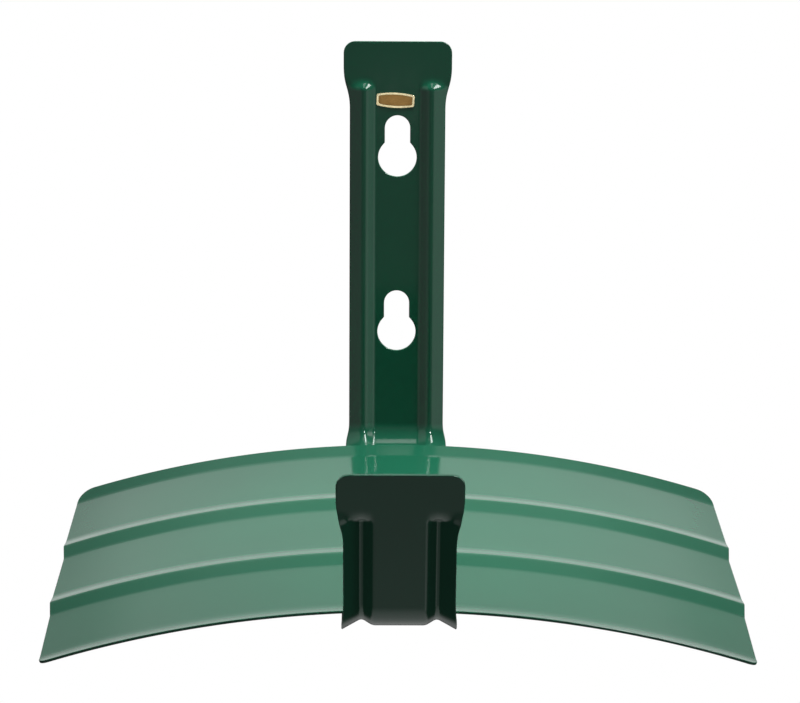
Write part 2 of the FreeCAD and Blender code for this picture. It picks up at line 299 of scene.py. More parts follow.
@dataclass(frozen=True)
class RoundedLine:
    """Polyline whose inner corners are rounded by arcs that start at a set distance from each corner."""

    points: tuple[Vector, ...]
    setbacks: tuple[float, ...]

    @staticmethod
    def setbacks_for(points: Sequence[Vector], radii: Sequence[float]) -> tuple[float, ...]:
        """Distances from the inner corners to the ends of arcs of the given radii."""
        turns = [abs(turn_at(points, index + 1)) for index in range(len(radii))]
        return tuple(radius * math.tan(turn / 2) for radius, turn in zip(radii, turns))

    def centre(self, index: int) -> tuple[Vector, float]:
        """Find the circle of the arc at one corner.

        Args:
            index: Number of the corner among the polyline's points.

        Returns:
            Centre and radius, which is negative where the line turns right.
        """
        before, here = self.points[index - 1:index + 1]
        setback = self.setbacks[index - 1]
        radius = setback / math.tan(turn_at(self.points, index) / 2)
        start = here + (before - here).normalized() * setback
        return start + left_normal(before, here) * radius, radius

    def arc(self, index: int, steps: int) -> list[Vector]:
        """Sample the arc at one corner.

        Args:
            index: Number of the corner among the polyline's points.
            steps: Number of chords.

        Returns:
            Points from one end of the arc to the other.
        """
        here = self.points[index]
        before = (self.points[index - 1] - here).normalized()
        after = (self.points[index + 1] - here).normalized()
        setback = self.setbacks[index - 1]
        start = here + before * setback
        turn = turn_at(self.points, index)
        if abs(turn) < STRAIGHT:
            return [start.lerp(here + after * setback, step / steps) for step in range(steps + 1)]
        centre = self.centre(index)[0]
        return [centre + Matrix.Rotation(turn * step / steps, 2) @ (start - centre)
                for step in range(steps + 1)]

    def samples(self, steps: int) -> list[Vector]:
        """Sample the whole line.

        Args:
            steps: Number of chords on each arc.

        Returns:
            Points from one end of the line to the other.
        """
        found = [self.points[0]]
        for index in range(1, len(self.points) - 1):
            found += self.arc(index, steps)
        return found + [self.points[-1]]


def boundary_loops(faces: Sequence[Sequence[int]]) -> list[list[int]]:
    """Find the open edges of a sheet.

    Args:
        faces: Corner numbers of each face.

    Returns:
        Closed loops of corner numbers, with the sheet on their left.
    """
    edges = {pair for face in faces for pair in zip(face, (*face[1:], face[0]))}
    follow = {start: end for start, end in sorted(edges) if (end, start) not in edges}
    loops = []
    while follow:
        start, here = follow.popitem()
        loop = [start]
        while here != start:
            loop.append(here)
            here = follow.pop(here)
        loops.append(loop)
    return loops


def thick_sheet(middle: bpy.types.Mesh, name: str, sheet: float, rim: float,
                cuts: dict[int, Vector]) -> bpy.types.Mesh:
    """Give a middle surface its thickness, with rounded edges all round and at its holes.

    Args:
        middle: Middle surface in millimetres, short of each edge by the rim's radius.
        name: Name of the new mesh.
        sheet: Thickness of the sheet.
        rim: Radius that rounds the sheet's edges.
        cuts: Direction of the cut through the sheet, at points where it isn't square to the surface.

    Returns:
        Closed mesh in metres, with the materials of the middle surface.
    """
    places = [vertex.co.copy() for vertex in middle.vertices]
    normals = [normal.vector.copy() for normal in middle.vertex_normals]
    through = [cuts.get(at, normal) / cuts.get(at, normal).dot(normal) for at, normal in enumerate(normals)]
    faces = [tuple(polygon.vertices) for polygon in middle.polygons]
    count = len(places)
    half = sheet / 2
    points = [place + way * half for place, way in zip(places, through)]
    points += [place - way * half for place, way in zip(places, through)]
    shading = normals + [-normal for normal in normals]
    skin = faces + [tuple(index + count for index in reversed(face)) for face in faces]
    quarter = [math.radians(angle) for angle in RIM_ANGLES]
    turns = [(angle, half - rim) for angle in quarter]
    turns += [(math.pi - angle, rim - half) for angle in reversed(quarter)]
    for loop in boundary_loops(faces):
        size = len(loop)
        along = [places[loop[(at + 1) % size]] - places[loop[at - 1]] for at in range(size)]
        aside = [way.cross(through[index]).normalized() for way, index in zip(along, loop)]
        rings = [loop]
        for angle, level in turns:
            rings.append(range(len(points), len(points) + size))
            for index, outward in zip(loop, aside):
                raised = through[index] * (level + rim * math.cos(angle))
                points.append(places[index] + raised + outward * (rim * math.sin(angle)))
                shading.append((normals[index] * math.cos(angle) + outward * math.sin(angle)).normalized())
        rings.append([index + count for index in loop])
        for upper, lower in zip(rings, rings[1:]):
            skin += [(upper[at], upper[at - 1], lower[at - 1], lower[at]) for at in range(size)]
    mesh = bpy.data.meshes.new(name)
    mesh.from_pydata([point * MM for point in points], [], skin)
    mesh.shade_smooth()
    mesh.normals_split_custom_set_from_vertices(shading)
    for material in middle.materials:
        mesh.materials.append(material)
    return mesh


def add_piece(mesh: bpy.types.Mesh, node: Node) -> bpy.types.Object:
    """Add a finished mesh to the hanger in place of a solid.

    Args:
        mesh: Mesh with its place in it.
        node: Solid that it stands for.

    Returns:
        The new piece.
    """
    piece = bpy.data.objects.new(mesh.name, mesh)
    bpy.context.scene.collection.objects.link(piece)
    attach(piece, BODY)
    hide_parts(node.value)
    low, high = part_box(node.value)
    spread = [max(abs(point[axis] - edge[axis]) / MM for axis in range(3))
              for point, edge in zip(mesh_box(mesh), (low, high))]
    log.info("%s: %d faces, within %.2f mm of its solid's box", piece.name, len(mesh.polygons), max(spread))
    return piece


def mesh_box(mesh: bpy.types.Mesh) -> tuple[Vector, Vector]:
    """Measure a mesh.

    Args:
        mesh: Mesh with its place in it.

    Returns:
        Lowest and highest corner of its box.
    """
    places = [vertex.co for vertex in mesh.vertices]
    low = Vector(min(place[axis] for place in places) for axis in range(3))
    high = Vector(max(place[axis] for place in places) for axis in range(3))
    return low, high


# The hook strip

RAMP_POWER = 2.5
HALVINGS = 30


def smooth_step(share: float) -> float:
    """Smooth step from 0 to 1, level at both ends."""
    held = min(max(share, 0.0), 1.0)
    return held * held * (3 - 2 * held)


def rib_rise(share: float) -> float:
    """Height of a rib along its run-out, from 0 to 1: a gentle toe, a steep ramp and a rounded shoulder."""
    return smooth_step(max(share, 0.0) ** RAMP_POWER)


def s_curve(share: float) -> float:
    """Follow a cut S-curve whose two level handles are half as long as the curve.

    Args:
        share: Share of the curve's length.

    Returns:
        Share of its sideways reach there.
    """
    low, high = 0.0, 1.0
    for _ in range(HALVINGS):
        middle = (low + high) / 2
        reached = 1.5 * middle - 1.5 * middle ** 2 + middle ** 3
        low, high = (middle, high) if reached < share else (low, middle)
    return smooth_step(low)


@dataclass(frozen=True)
class RibSection:
    """Section of the strip: a flat web, two ribs, and two flanges that slope back to the wall.

    Past the first bend the flanges flare: they slope further, and their tips drop below the web.
    """

    sheet: float = 1.5
    web_width: float = 19.4
    rib_spacing: float = 27.4
    rib_height: float = 2.45
    root_radius: float = 3.5
    crest_radius: float = 3.3
    wall_width: float = 39.3
    arm_width: float = 42.0
    arm_tip_drop: float = 1.6
    panel_half: float = 8.42
    arc_steps: int = 8
    flange_steps: int = 4

    def flange_fall(self, share: float, flare: float) -> float:
        """Work out how steeply the flange falls.

        Args:
            share: Share of the rib's full height.
            flare: Share of the flange's flare, from wall to arm.

        Returns:
            Fall for each millimetre outwards.
        """
        crest = self.rib_spacing / 2
        wall = self.rib_height / (self.wall_width / 2 - crest)
        arm = (self.rib_height + self.arm_tip_drop) / (self.arm_width / 2 - crest)
        return share * (wall + (arm - wall) * flare)

    def corners(self, share: float, flare: float) -> list[Vector]:
        """Set out the right half's middle line before it is rounded.

        Args:
            share: Share of the rib's full height.
            flare: Share of the flange's flare, from wall to arm.

        Returns:
            Corners from the web's centre to past the flange.
        """
        height = self.rib_height * share
        crest = self.rib_spacing / 2
        end = crest + self.arm_width / 2
        tip = height - self.flange_fall(share, flare) * (end - crest)
        back = [(0.0, 0.0), (self.web_width / 2, 0.0), (crest, height), (end, tip)]
        return offset_line([Vector(point) for point in back], self.sheet / 2)

    def middle(self, share: float, flare: float) -> RoundedLine:
        """Middle line of the right half.

        Args:
            share: Share of the rib's full height.
            flare: Share of the flange's flare, from wall to arm.

        Returns:
            Line from the web's centre to past the flange.
        """
        radii = (self.root_radius, self.crest_radius)
        return RoundedLine(tuple(self.corners(share, flare)),
                           RoundedLine.setbacks_for(self.corners(1.0, 0.0), radii))

    def flange_level(self, share: float, flare: float, aside: float) -> float:
        """Level of the flange's middle line at a distance from the centre."""
        crest, end = self.corners(share, flare)[-2:]
        return crest.y + (end.y - crest.y) * (aside - crest.x) / (end.x - crest.x)

    def half(self, share: float, flare: float, tip: float) -> list[Vector]:
        """Points of the right half.

        Args:
            share: Share of the rib's full height.
            flare: Share of the flange's flare, from wall to arm.
            tip: Distance of the flange's tip from the centre.

        Returns:
            Points from the side of the web's flat panel to the tip.
        """
        line = self.middle(share, flare)
        root = line.arc(1, self.arc_steps)
        crest = line.arc(2, self.arc_steps)
        end = Vector((tip, self.flange_level(share, flare, tip)))
        flange = [crest[-1].lerp(end, (step + 1) / self.flange_steps) for step in range(self.flange_steps)]
        return [Vector((self.panel_half, self.sheet / 2)), *root, *crest, *flange]

    def crest_arc(self) -> tuple[Vector, float]:
        """Centre and radius of the arm's rib crest on the side that the saddle rests on."""
        centre, radius = self.middle(1.0, 1.0).centre(2)
        return centre, abs(radius) + self.sheet / 2


@dataclass(frozen=True)
class EdgeOutline:
    """Half-width of the strip along one end of it: straight stretches, S-curves and rounded end corners."""

    stations: tuple[tuple[float, float], ...]
    corner_radius: float

    def half_width(self, height: float, inset: float = 0.0) -> float:
        """Measure the strip at one height.

        Args:
            height: Height on the outline.
            inset: Distance inside the outline at which to measure.

        Returns:
            Distance from the strip's centre.
        """
        for (low, low_half), (high, high_half) in zip(self.stations, self.stations[1:]):
            if height <= high:
                half = low_half + (high_half - low_half) * s_curve((height - low) / (high - low))
                break
        past = height - self.stations[-1][0] + self.corner_radius
        if past <= 0:
            return half - inset
        inner = self.corner_radius - inset
        return half - self.corner_radius + math.sqrt(max(inner ** 2 - past ** 2, 0.0))


@dataclass(frozen=True)
class Station:
    """Place of one section along the strip, with the outline that trims it there."""

    origin: Vector
    inward: Vector
    rib_share: float
    flare: float
    outline: EdgeOutline
    foot: Vector
    axis: Vector

    def tip(self, section: RibSection, rim: float) -> float:
        """Find where the middle surface ends at the side.

        Args:
            section: Section of the strip.
            rim: Radius that rounds the sheet's edges.

        Returns:
            Distance from the centre, short of the edge by the rim.
        """
        aside = self.outline.half_width((self.origin - self.foot).dot(self.axis))
        level = section.flange_level(self.rib_share, self.flare, aside)
        height = (self.origin + self.inward * level - self.foot).dot(self.axis)
        return self.outline.half_width(height, rim)

    def points(self, section: RibSection, rim: float) -> list[Vector]:
        """Place one row of the middle surface.

        Args:
            section: Section of the strip.
            rim: Radius that rounds the sheet's edges.

        Returns:
            Points across the strip, from left to right.
        """
        right = section.half(self.rib_share, self.flare, self.tip(section, rim))
        flat = [Vector((-point.x, point.y)) for point in reversed(right)] + right
        return [self.origin + RIGHT * point.x + self.inward * point.y for point in flat]


def steps_between(start: float, end: float, size: float) -> Iterator[float]:
    """Space values evenly.

    Args:
        start: First value.
        end: Value that the last one stays short of by a step.
        size: About how far apart the values are.

    Yields:
        The values in order.
    """
    count = max(1, round(abs(end - start) / size))
    for step in range(count):
        yield start + (end - start) * step / count


@dataclass(frozen=True)
class HookStrip:
    """Ribbed strip bent into a hook: a tab, a wall strip with two keyholes, an arm and a front lip."""

    section: RibSection = RibSection()
    rim: float = 0.35
    wall_height: float = 170.7
    tab_width: float = 44.45
    tab_length: float = 12.8
    tab_run_out: float = 7.0
    tab_taper_start: float = 10.0
    tab_taper_length: float = 18.0
    tab_corner_radius: float = 4.8
    keyhole_spacing: float = 73.0
    entry_diameter: float = 15.875
    slot_width: float = 10.4
    slot_rise: float = 12.15
    arm_slope: float = 10.0
    arm_length: float = 175.4
    bend_radius: float = 12.0
    lip_lean: float = 16.8
    lip_length: float = 67.4
    lip_width: float = 40.6
    lip_end_spread: float = 1.35
    lip_flat_length: float = 12.5
    lip_run_out: float = 7.5
    lip_taper_start: float = 9.0
    lip_taper_length: float = 21.0
    lip_corner_radius: float = 5.0
    lip_flare_length: float = 16.0
    fine_row: float = 0.5
    long_row: float = 12.0
    bend_row: float = 4.0
    corner_rows: int = 9
    entry_chord: float = 6.9
    slot_chord: float = 9.0

    @property
    def top(self) -> float:
        """Height of the tab's top edge, from the frame."""
        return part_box(Node.BRACKET.value)[1].z / MM

    @property
    def outer_radius(self) -> float:
        """Radius of a bend's outer face."""
        return self.bend_radius + self.section.sheet

    @property
    def wall_foot(self) -> Vector:
        """Point where the wall strip's back would meet the arm's underside, were they not rounded."""
        return UP * (self.top - self.wall_height)

    def turned(self, angle: float, along: Vector, inward: Vector) -> tuple[Vector, Vector]:
        """Directions along the strip and into the hook after a bend by an angle in degrees."""
        cosine, sine = math.cos(math.radians(angle)), math.sin(math.radians(angle))
        return along * cosine + inward * sine, inward * cosine - along * sine

    @property
    def arm_frame(self) -> tuple[Vector, Vector]:
        """Directions along the arm, away from the wall, and up from it."""
        return self.turned(90 - self.arm_slope, -UP, TO_FRONT)

    @property
    def lip_frame(self) -> tuple[Vector, Vector]:
        """Directions up along the lip and into the hook."""
        return self.turned(90 + self.arm_slope - self.lip_lean, *self.arm_frame)

    @property
    def lip_foot(self) -> Vector:
        """Point where the arm's underside would meet the lip's face, were they not rounded."""
        return self.wall_foot + self.arm_frame[0] * self.arm_length

    def tangent(self, turn: float) -> float:
        """Distance from a bend's foot to where its outer face starts to curve."""
        return self.outer_radius * math.tan(math.radians(turn / 2))

    def bend(self, start: Vector, along: Vector, inward: Vector,
             turn: float) -> Iterator[tuple[float, Vector, Vector]]:
        """Sections through a bend.

        Args:
            start: Point of the outer face where the bend starts.
            along: Direction of the strip there.
            inward: Direction into the hook there.
            turn: Angle of the bend in degrees.

        Yields:
            Share of the bend, point of the outer face and direction into the hook.
        """
        centre = start + inward * self.outer_radius
        for angle in steps_between(0.0, turn, self.bend_row):
            facing = self.turned(angle, along, inward)[1]
            yield angle / turn, centre - facing * self.outer_radius, facing

    def corner_heights(self, top: float, radius: float) -> list[float]:
        """Space the rows round an end's corners.

        Args:
            top: Height of the end.
            radius: Radius of the corners.

        Returns:
            Heights from the end down.
        """
        inner = radius - self.rim
        angles = [math.pi / 2 * step / self.corner_rows for step in range(self.corner_rows)]
        return [top - self.rim - inner * (1 - math.cos(angle)) for angle in angles]

    def wall_rows(self) -> list[Station]:
        """Lay sections along the tab, the wall strip, the first bend and the near half of the arm.

        Returns:
            Sections from the top down.
        """
        turn = 90 - self.arm_slope
        bend_start = self.wall_foot.z + self.tangent(turn)
        taper_top = self.top - self.tab_taper_start
        taper_foot = taper_top - self.tab_taper_length
        wall_half = self.section.wall_width / 2
        arm_half = self.section.arm_width / 2
        outline = EdgeOutline((
            (self.wall_foot.z - self.arm_length, arm_half),
            (self.wall_foot.z, arm_half),
            (bend_start, wall_half),
            (taper_foot, wall_half),
            (taper_top, self.tab_width / 2),
            (self.top, self.tab_width / 2),
        ), self.tab_corner_radius)
        heights = self.corner_heights(self.top, self.tab_corner_radius)
        heights += steps_between(self.top - self.tab_corner_radius, taper_foot, self.fine_row)
        heights += steps_between(taper_foot, bend_start, self.long_row)
        rows = []
        for height in heights:
            share = rib_rise((self.top - height - self.tab_length) / self.tab_run_out)
            rows.append(Station(UP * height, TO_FRONT, share, 0.0, outline, Vector(), UP))
        for share, place, facing in self.bend(UP * bend_start, -UP, TO_FRONT, turn):
            rows.append(Station(place, facing, 1.0, smooth_step(share), outline, Vector(), UP))
        along, inward = self.arm_frame
        for distance in steps_between(self.tangent(turn), self.arm_length / 2, self.long_row):
            rows.append(Station(self.wall_foot + along * distance, inward, 1.0, 1.0, outline, Vector(), UP))
        return rows

    def lip_rows(self) -> list[Station]:
        """Lay sections along the far half of the arm, the second bend and the lip.

        Returns:
            Sections from the arm to the lip's end.
        """
        turn = 90 + self.arm_slope - self.lip_lean
        taper_top = self.lip_length - self.lip_taper_start
        end_half = (self.tab_width + self.lip_end_spread) / 2
        outline = EdgeOutline((
            (-self.arm_length, self.section.arm_width / 2),
            (0.0, self.section.arm_width / 2),
            (self.lip_flare_length, self.lip_width / 2),
            (taper_top - self.lip_taper_length, self.lip_width / 2),
            (taper_top, end_half),
            (self.lip_length, end_half),
        ), self.lip_corner_radius)
        arm_along, arm_inward = self.arm_frame
        along, inward = self.lip_frame
        trim = (outline, self.lip_foot, along)
        bend_start = self.arm_length - self.tangent(turn)
        rows = []
        for distance in steps_between(self.arm_length / 2, bend_start, self.long_row):
            rows.append(Station(self.wall_foot + arm_along * distance, arm_inward, 1.0, 1.0, *trim))
        start = self.wall_foot + arm_along * bend_start
        for _, place, facing in self.bend(start, arm_along, arm_inward, turn):
            rows.append(Station(place, facing, 1.0, 1.0, *trim))
        corner_foot = self.lip_length - self.lip_corner_radius
        heights = list(steps_between(self.tangent(turn), corner_foot, self.fine_row))
        heights += reversed(self.corner_heights(self.lip_length, self.lip_corner_radius))
        for height in heights:
            share = rib_rise((self.lip_length - height - self.lip_flat_length) / self.lip_run_out)
            rows.append(Station(self.lip_foot + along * height, inward, share, 1.0, *trim))
        return rows

    def keyhole(self, entry_height: float) -> list[Vector]:
        """Outline of a keyhole on the web's middle surface.

        Args:
            entry_height: Height of the entry hole's centre.

        Returns:
            Points of the outline, wider than the hole by the rim.
        """
        entry = self.entry_diameter / 2 + self.rim
        slot = self.slot_width / 2 + self.rim
        neck = math.asin(slot / entry)
        flat = [(entry * math.sin(angle), entry * math.cos(angle))
                for angle in steps_between(neck, 2 * math.pi - neck, math.radians(self.entry_chord))]
        flat.append((-slot, entry * math.cos(neck)))
        flat += [(-slot * math.cos(angle), self.slot_rise + slot * math.sin(angle))
                 for angle in steps_between(0.0, math.pi, math.radians(self.slot_chord))]
        flat.append((slot, self.slot_rise))
        front = TO_FRONT * (self.section.sheet / 2)
        return [front + RIGHT * x + UP * (entry_height + z) for x, z in flat]

    def middle_surface(self) -> tuple[bpy.types.Mesh, dict[int, Vector]]:
        """Make the strip's middle surface, with the keyholes left open.

        Returns:
            Middle surface in millimetres, and the direction of the cut at each point of its sides.
        """
        rows = self.wall_rows() + self.lip_rows()
        places = [row.points(self.section, self.rim) for row in rows]
        width = len(places[0])
        web = width // 2 - 1
        panel = [at for at, row in enumerate(rows) if row.rib_share == 1.0 and row.inward == TO_FRONT]
        faces = []
        for row in range(len(rows) - 1):
            for column in range(width - 1):
                if column == web and panel[0] <= row < panel[-1]:
                    continue
                near = row * width + column
                faces.append((near, near + width, near + width + 1, near + 1))
        points = [place for row in places for place in row]
        rim = [row * width + web for row in panel] + [row * width + web + 1 for row in reversed(panel)]
        holes = [self.keyhole(side * self.keyhole_spacing / 2) for side in (1, -1)]
        corners = rim + list(range(len(points), len(points) + sum(len(hole) for hole in holes)))
        for triangle in tessellate_polygon([[points[index] for index in rim], *holes]):
            faces.append(tuple(corners[index] for index in triangle))
        for hole in holes:
            points += hole
        cuts = {at * width + side: row.inward for at, row in enumerate(rows) for side in (0, width - 1)}
        return facing_mesh(points, faces, TO_FRONT), cuts

    def build(self, coat: bpy.types.Material) -> bpy.types.Object:
        """Make the strip and dress it in its coat.

        Args:
            coat: Finish of the strip.

        Returns:
            The finished strip.
        """
        middle, cuts = self.middle_surface()
        middle.materials.append(coat)
        mesh = thick_sheet(middle, "hook_strip", self.section.sheet, self.rim, cuts)
        return add_piece(mesh, Node.BRACKET)


def facing_mesh(points: Sequence[Vector], faces: Sequence[tuple[int, ...]],
                facing: Vector) -> bpy.types.Mesh:
    """Make a mesh whose flat triangles face the same way as the rest.

    Args:
        points: Places of the corners.
        faces: Corner numbers of each face.
        facing: Side that triangles show.

    Returns:
        The mesh.
    """
    turned = []
    for face in faces:
        first, second, third = [points[index] for index in face[:3]]
        back = len(face) == 3 and (second - first).cross(third - first).dot(facing) < 0
        turned.append(tuple(reversed(face)) if back else face)
    mesh = bpy.data.meshes.new("middle_surface")
    mesh.from_pydata([tuple(point) for point in points], [], turned)
    return mesh


# The saddle


@dataclass(frozen=True)
class HoseSaddle:
    """Arched sheet that carries the hose: three shallow troughs between low ridges, on the arm's ribs."""

    strip: HookStrip
    sheet: float = 1.1
    rim: float = 0.3
    coat_film: float = 0.05
    width: float = 266.7
    crest_radius: float = 413.0
    setback: float = 13.6
    troughs: tuple[float, ...] = (53.5, 51.0, 47.4)
    ridge_height: float = 2.3
    ridge_front_run: float = 7.2
    ridge_back_run: float = 6.0
    trough_rise: float = 1.3
    ridge_crest_radius: float = 3.0
    ridge_front_root_radius: float = 7.0
    ridge_back_root_radius: float = 40.0
    edge_curl_height: float = 0.8
    edge_curl_run: float = 4.5
    back_corner_radius: float = 8.0
    front_corner_radius: float = 4.0
    columns: int = 120
    arc_steps: int = 8
    corner_rows: int = 10
    least_row: float = 0.01

    @property
    def trough_under(self) -> float:
        """Radius of the troughs' underside about the saddle's axis."""
        return self.crest_radius - self.ridge_height - self.sheet

    @property
    def axis_point(self) -> Vector:
        """Point of the saddle's axis below its back edge, from where its troughs touch the arm's ribs."""
        along, upward = self.strip.arm_frame
        crest, radius = self.strip.section.crest_arc()
        clear = self.trough_under - radius
        drop = math.sqrt(clear * clear - crest.x * crest.x)
        return self.strip.wall_foot + along * self.setback + upward * (crest.y - drop + self.coat_film)

    def profile(self) -> list[Vector]:
        """Draw the middle line of the sheet along the arm.

        Returns:
            Points with their distance from the back edge, and their radius from the axis.
        """
        crest = self.crest_radius - self.sheet / 2
        trough = crest - self.ridge_height
        points = [Vector((0.0, crest))]
        radii: list[float] = []
        start = 0.0
        for number, band in enumerate(self.troughs, 1):
            at_front = number == len(self.troughs)
            run = self.edge_curl_run if at_front else self.ridge_back_run
            floor_rise = 0.0 if at_front else self.trough_rise
            whole_rise = self.edge_curl_height if at_front else self.ridge_height
            points += [Vector((start + self.ridge_front_run, trough)),
                       Vector((start + band - run, trough + floor_rise)),
                       Vector((start + band, trough + whole_rise))]
            radii += [self.ridge_front_root_radius, self.ridge_back_root_radius, self.ridge_crest_radius]
            start += band
        line = RoundedLine(tuple(points), RoundedLine.setbacks_for(points, radii[:-1]))
        return self.with_corner_rows(line.samples(self.arc_steps))

    def with_corner_rows(self, line: list[Vector]) -> list[Vector]:
        """Trim a profile by the rim at both ends, and add the rows that round the sheet's corners.

        Args:
            line: Profile from the back edge to the front edge.

        Returns:
            The profile with its new rows.
        """
        low, high = line[0].x + self.rim, line[-1].x - self.rim
        shares = [1 - math.cos(math.pi / 2 * step / self.corner_rows)
                  for step in range(self.corner_rows + 1)]
        rows = {low + (self.back_corner_radius - self.rim) * share for share in shares}
        rows |= {high - (self.front_corner_radius - self.rim) * share for share in shares}
        rows |= {point.x for point in line if low < point.x < high}
        kept: list[Vector] = []
        for row in sorted(rows):
            if kept and row - kept[-1].x < self.least_row:
                continue
            before = max(at for at, point in enumerate(line[:-1]) if point.x <= row)
            start, end = line[before], line[before + 1]
            kept.append(start.lerp(end, (row - start.x) / (end.x - start.x)))
        return kept

    @staticmethod
    def corner_steps(corner: str, far: str, near: str) -> list[tuple[str | float, ...]]:
        """List the sums that round both corners at one end, by turning the end's sides in.

        Args:
            corner: Name of the corners' radius.
            far: Name of the larger of the two distances along the sheet.
            near: Name of the smaller one, so that their difference is the distance from the end.

        Returns:
            Name of each result, its operation and its terms.
        """
        return [
            ("inside", "SUBTRACT", far, near),
            ("reach", "SUBTRACT", corner, "inside"),
            ("held", "MAXIMUM", "reach", 0.0),
            ("square", "MULTIPLY", "held", "held"),
            ("whole", "MULTIPLY", corner, corner),
            ("rest", "SUBTRACT", "whole", "square"),
            ("chord", "SQRT", "rest"),
            ("short", "SUBTRACT", corner, "chord"),
            ("turned_in", "DIVIDE", "short", "Crest Radius"),
            ("Half Angle", "SUBTRACT", "Half Angle", "turned_in"),
        ]

    def tree(self) -> bpy.types.NodeTree:
        """Build the node tree that turns the profile about the saddle's axis and rounds its corners.

        Returns:
            The tree, with the saddle's sizes as its inputs.
        """
        tree = bpy.data.node_groups.new("arched_saddle", "GeometryNodeTree")
        measures = ("Half Angle", "Crest Radius", "Back Edge", "Front Edge", "Back Corner", "Front Corner")
        sockets = {"Profile": "Geometry", **dict.fromkeys(measures, "Float"), "Columns": "Int",
                   "Slope": "Vector", "Axis Point": "Vector", "Coat": "Material"}
        for name, kind in sockets.items():
            tree.interface.new_socket(name, in_out="INPUT", socket_type=f"NodeSocket{kind}")
        tree.interface.new_socket("Sheet", in_out="OUTPUT", socket_type="NodeSocketGeometry")
        given = add_node(tree, "NodeGroupInput").outputs
        rail = add_node(tree, "GeometryNodeCurvePrimitiveLine",
                        {"Start": (0.0, 0.0, -1.0), "End": (0.0, 0.0, 1.0)})
        columns = add_node(tree, "GeometryNodeResampleCurve",
                           {"Curve": rail.outputs["Curve"], "Count": given["Columns"]}, mode="COUNT")
        curve = add_node(tree, "GeometryNodeMeshToCurve", {"Mesh": given["Profile"]})
        swept = add_node(tree, "GeometryNodeCurveToMesh",
                         {"Curve": columns.outputs["Curve"], "Profile Curve": curve.outputs["Curve"]})
        place = add_node(tree, "GeometryNodeInputPosition").outputs["Position"]
        part = add_node(tree, "ShaderNodeSeparateXYZ", {"Vector": place}).outputs
        found = {name: given[name] for name in sockets} | {axis: part[axis] for axis in "XYZ"}
        sums = [
            *self.corner_steps("Back Corner", "X", "Back Edge"),
            *self.corner_steps("Front Corner", "Front Edge", "X"),
            ("turn", "MULTIPLY", "Z", "Half Angle"),
            ("sine", "SINE", "turn"),
            ("cosine", "COSINE", "turn"),
            ("aside", "MULTIPLY", "Y", "sine"),
            ("level", "MULTIPLY", "Y", "cosine"),
            ("back", "MULTIPLY", "X", -1.0),
        ]
        for name, operation, *terms in sums:
            inputs = {at: found.get(term, term) for at, term in enumerate(terms)}
            found[name] = add_node(tree, "ShaderNodeMath", inputs, operation=operation).outputs[0]
        arched = add_node(tree, "ShaderNodeCombineXYZ",
                          {"X": found["aside"], "Y": found["back"], "Z": found["level"]})
        shaped = add_node(tree, "GeometryNodeSetPosition",
                          {"Geometry": swept.outputs["Mesh"], "Position": arched.outputs["Vector"]})
        seated = add_node(tree, "GeometryNodeTransform",
                          {"Geometry": shaped.outputs["Geometry"], "Rotation": given["Slope"],
                           "Translation": given["Axis Point"]})
        real = add_node(tree, "GeometryNodeRealizeInstances", {"Geometry": seated.outputs["Geometry"]})
        coated = add_node(tree, "GeometryNodeSetMaterial",
                          {"Geometry": real.outputs["Geometry"], "Material": given["Coat"]})
        add_node(tree, "NodeGroupOutput", {"Sheet": coated.outputs["Geometry"]})
        return tree

    def middle_surface(self, coat: bpy.types.Material) -> bpy.types.Mesh:
        """Make the saddle's middle surface from its profile and its node tree.

        Args:
            coat: Finish of the saddle.

        Returns:
            Middle surface in millimetres, facing up.
        """
        profile = self.profile()
        line = bpy.data.meshes.new("saddle_profile")
        line.from_pydata([(point.x, point.y, 0.0) for point in profile],
                         [(at, at + 1) for at in range(len(profile) - 1)], [])
        carrier = bpy.data.objects.new("saddle_profile", line)
        bpy.context.scene.collection.objects.link(carrier)
        modifier = carrier.modifiers.new("arched_saddle", "NODES")
        modifier.node_group = self.tree()
        half_angle = math.asin(self.width / 2 / self.crest_radius) - self.rim / self.crest_radius
        sizes = {
            "Half Angle": half_angle,
            "Crest Radius": self.crest_radius,
            "Back Edge": profile[0].x,
            "Front Edge": profile[-1].x,
            "Back Corner": self.back_corner_radius - self.rim,
            "Front Corner": self.front_corner_radius - self.rim,
            "Columns": self.columns,
            "Slope": (math.radians(self.strip.arm_slope), 0.0, 0.0),
            "Axis Point": tuple(self.axis_point),
            "Coat": coat,
        }
        for socket in modifier.node_group.interface.items_tree:
            if socket.name in sizes:
                modifier[socket.identifier] = sizes[socket.name]
        graph = bpy.context.evaluated_depsgraph_get()
        mesh = bpy.data.meshes.new_from_object(carrier.evaluated_get(graph))
        carrier.modifiers.remove(modifier)
        bpy.data.objects.remove(carrier)
        upward = self.strip.arm_frame[1]
        if mesh.polygons[len(mesh.polygons) // 2].normal.dot(upward) < 0:
            mesh.flip_normals()
        return mesh

    def build(self, coat: bpy.types.Material) -> bpy.types.Object:
        """Make the saddle and dress it in its coat."""
        mesh = thick_sheet(self.middle_surface(coat), "hose_saddle", self.sheet, self.rim, {})
        return add_piece(mesh, Node.SADDLE)


# The foil label


